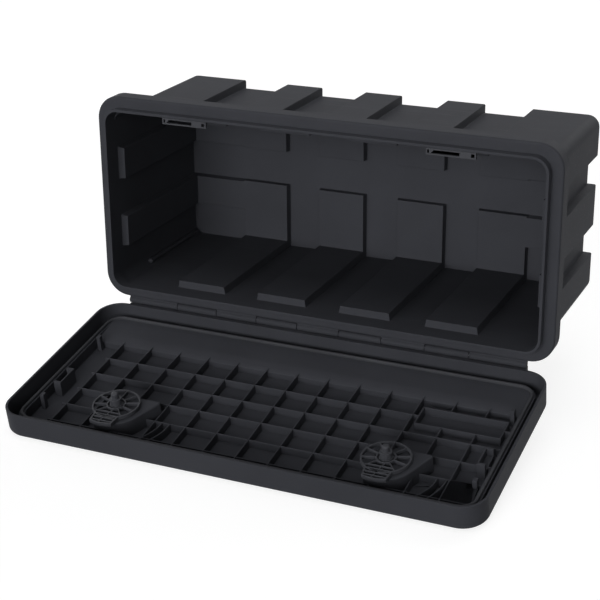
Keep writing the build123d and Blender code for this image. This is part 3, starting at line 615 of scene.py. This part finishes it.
def pick(piece, kind, test):
    """In edit mode, select only the faces or edges that pass a test. Returns how many."""
    bpy.ops.mesh.select_mode(type=kind)
    bpy.ops.mesh.select_all(action="DESELECT")
    mesh = bmesh.from_edit_mesh(piece.data)
    chosen = [part for part in (mesh.faces if kind == "FACE" else mesh.edges) if test(part)]
    for part in chosen:
        part.select_set(True)
    bmesh.update_edit_mesh(piece.data)
    return len(chosen)


def is_rim(edge, way):
    """True for an edge between a face that looks along a direction and one across it."""
    turns = sorted(face.normal.dot(way) for face in edge.link_faces)
    return len(turns) == 2 and turns[1] > FACING and turns[0] < ACROSS


print("helpers: edit, pick, is_rim")

# %% [markdown]
# ## Seal
# A soft rubber cord sits in a groove that runs round the inside of the door. Its round top meets
# the lip of the box. A curve with a bevel would be quick, but its section can't be flat below and
# round above. So a plane gets four round corners, is inset to a ring, extruded to the height of
# the cord, and bevelled along its two top edges. It is modelled flat, about the hinge, and tipped
# down with the open door at the end.

# %% Where the seal lies
hinge = next(joint for joint in frame["joints"] if joint["name"] == "door_hinge")
door_tip = radians(hinge["range_deg"][1] - 90)
tipped = Matrix.Translation(hinge["pos_m"]) @ Matrix.Rotation(door_tip, 4, "X")
flat = [tipped.inverted() @ vertex.co for vertex in nodes["door_seal"].data.vertices]
seal_low = Vector([min(point[i] for point in flat) for i in range(3)])
seal_high = Vector([max(point[i] for point in flat) for i in range(3)])
seal_size = seal_high - seal_low
print("seal measures:", [round(length, 4) for length in seal_size])

# %% Seal
SEAL_WIDTH = 0.005
SEAL_CORNER = 0.0267
SEAL_CORNER_STEPS = 16
SEAL_ROUND = 0.0024
SEAL_ROUND_STEPS = 6

bpy.ops.object.select_all(action="DESELECT")
bpy.ops.mesh.primitive_plane_add(size=1)
seal = bpy.context.object
seal.name = "rubber_seal"
edit(seal)
bpy.ops.mesh.select_all(action="SELECT")
bpy.ops.transform.resize(value=(seal_size.x, seal_size.y, 1))
bpy.ops.transform.translate(value=(0, (seal_low.y + seal_high.y) / 2, seal_low.z))
bpy.ops.mesh.bevel(offset=SEAL_CORNER, segments=SEAL_CORNER_STEPS, affect="VERTICES")
bpy.ops.mesh.inset(thickness=SEAL_WIDTH)
bpy.ops.mesh.delete(type="ONLY_FACE")
bpy.ops.mesh.select_all(action="SELECT")
bpy.ops.mesh.extrude_region_move(TRANSFORM_OT_translate={"value": (0, 0, seal_size.z)})
pick(seal, "EDGE", lambda e: e.is_boundary)
bpy.ops.mesh.bridge_edge_loops()
bpy.ops.mesh.select_all(action="SELECT")
bpy.ops.mesh.normals_make_consistent(inside=False)
rims = pick(seal, "EDGE", lambda e: is_rim(e, UP))
bpy.ops.mesh.bevel(offset=SEAL_ROUND, segments=SEAL_ROUND_STEPS, affect="EDGES")
bpy.ops.object.mode_set(mode="OBJECT")
bpy.ops.object.shade_smooth_by_angle(angle=SMOOTH)
seal.matrix_world = tipped
bpy.ops.object.transform_apply(location=True, rotation=True, scale=True)
take_place(seal, "door_seal")
print("seal:", rims, "rim edges,", len(seal.data.polygons), "faces")

# %% [markdown]
# ## Keeper screws
# Each keeper hangs from two pan-head screws with a cross recess, driven up through its tab. A
# screw could be spun from a profile, but a cylinder is a quicker start: its lower rim is bevelled
# to the pan shape, its upper face is inset and drawn up to make the shank, and a cross is cut into
# the head with a Boolean. A cross is a small cube with its four sides drawn out. The other three
# screws are copies of the first.

# %% Where the screws sit
SCREW_INSET = 0.006

screws_low, screws_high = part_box("keeper_screws")
screw_y = (screws_low[1] + screws_high[1]) / 2
head_radius = (screws_high[1] - screws_low[1]) / 2
screw_xs = []
for keeper in ("left_keeper", "right_keeper"):
    keeper_low, keeper_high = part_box(keeper)
    screw_xs += [keeper_low[0] + SCREW_INSET, keeper_high[0] - SCREW_INSET]
print("screws at x:", [round(x, 4) for x in screw_xs])

# %% One screw
SCREW_SIDES = 32
SCREW_HEAD = 0.002
SCREW_PAN = 0.0011
SCREW_PAN_STEPS = 5
SCREW_SHANK = 0.0015
SCREW_TIP = SCREW_SHANK / 3
SCREW_TIP_STEPS = 2

bpy.ops.object.select_all(action="DESELECT")
bpy.ops.mesh.primitive_cylinder_add(
    vertices=SCREW_SIDES,
    radius=head_radius,
    depth=SCREW_HEAD,
    location=(screw_xs[0], screw_y, screws_low[2] + SCREW_HEAD / 2),
)
screw = bpy.context.object
screw.name = "keeper_screw_set"
bpy.ops.object.transform_apply(location=True, rotation=True, scale=True)
edit(screw)
pick(screw, "EDGE", lambda e: is_rim(e, -UP))
bpy.ops.mesh.bevel(offset=SCREW_PAN, segments=SCREW_PAN_STEPS, affect="EDGES")
pick(screw, "FACE", lambda f: f.normal.dot(UP) > FACING)
bpy.ops.mesh.inset(thickness=head_radius - SCREW_SHANK)
shank = screws_high[2] - screws_low[2] - SCREW_HEAD
bpy.ops.mesh.extrude_region_move(TRANSFORM_OT_translate={"value": (0, 0, shank)})
bpy.ops.mesh.bevel(offset=SCREW_TIP, segments=SCREW_TIP_STEPS, affect="EDGES")
bpy.ops.object.mode_set(mode="OBJECT")
print("screw:", len(screw.data.polygons), "faces")

# %% Cross recess
CROSS_WIDTH = 0.0008
CROSS_ARM = 0.0011
CROSS_DEPTH = 0.0012

bpy.ops.object.select_all(action="DESELECT")
bpy.ops.mesh.primitive_cube_add(size=CROSS_WIDTH, location=(screw_xs[0], screw_y, screws_low[2]))
cross = bpy.context.object
edit(cross)
bpy.ops.mesh.select_all(action="SELECT")
bpy.ops.transform.resize(value=(1, 1, 2 * CROSS_DEPTH / CROSS_WIDTH))
pick(cross, "FACE", lambda f: abs(f.normal.z) < LEVEL)
bpy.ops.mesh.extrude_faces_move(TRANSFORM_OT_shrink_fatten={"value": CROSS_ARM})
bpy.ops.object.mode_set(mode="OBJECT")
recess = screw.modifiers.new("cross recess", "BOOLEAN")
recess.operation = "DIFFERENCE"
recess.object = cross
bpy.context.view_layer.objects.active = screw
bpy.ops.object.modifier_apply(modifier="cross recess")
bpy.data.objects.remove(cross)
print("screw with recess:", len(screw.data.polygons), "faces")

# %% Four screws
for x in screw_xs[1:]:
    select_only(screw)
    bpy.ops.object.duplicate()
    bpy.context.object.name = "keeper_screw_copy"
    bpy.ops.transform.translate(value=(x - screw_xs[0], 0, 0))
select_only(screw)
for copy in [o for o in bpy.data.objects if o.name.startswith("keeper_screw_")]:
    copy.select_set(True)
bpy.ops.object.join()
bpy.ops.object.transform_apply(location=True, rotation=True, scale=True)
bpy.ops.object.shade_smooth_by_angle(angle=SMOOTH)
take_place(screw, "keeper_screws")
print("screws:", len(screw_xs), "screws,", len(screw.data.polygons), "faces")

# %% [markdown]
# ## Finish of the other nodes
# The hinge pin, its plugs and the spindles are turned and smooth already. They could be copied and
# bevelled too, but nothing would show, so they keep their own meshes and only get their finish.

# %% Finish of the other nodes
for name, node in nodes.items():
    node.data.materials.clear()
    node.data.materials.append(finish[slot_of[name]])
print("finished nodes:", len(nodes))
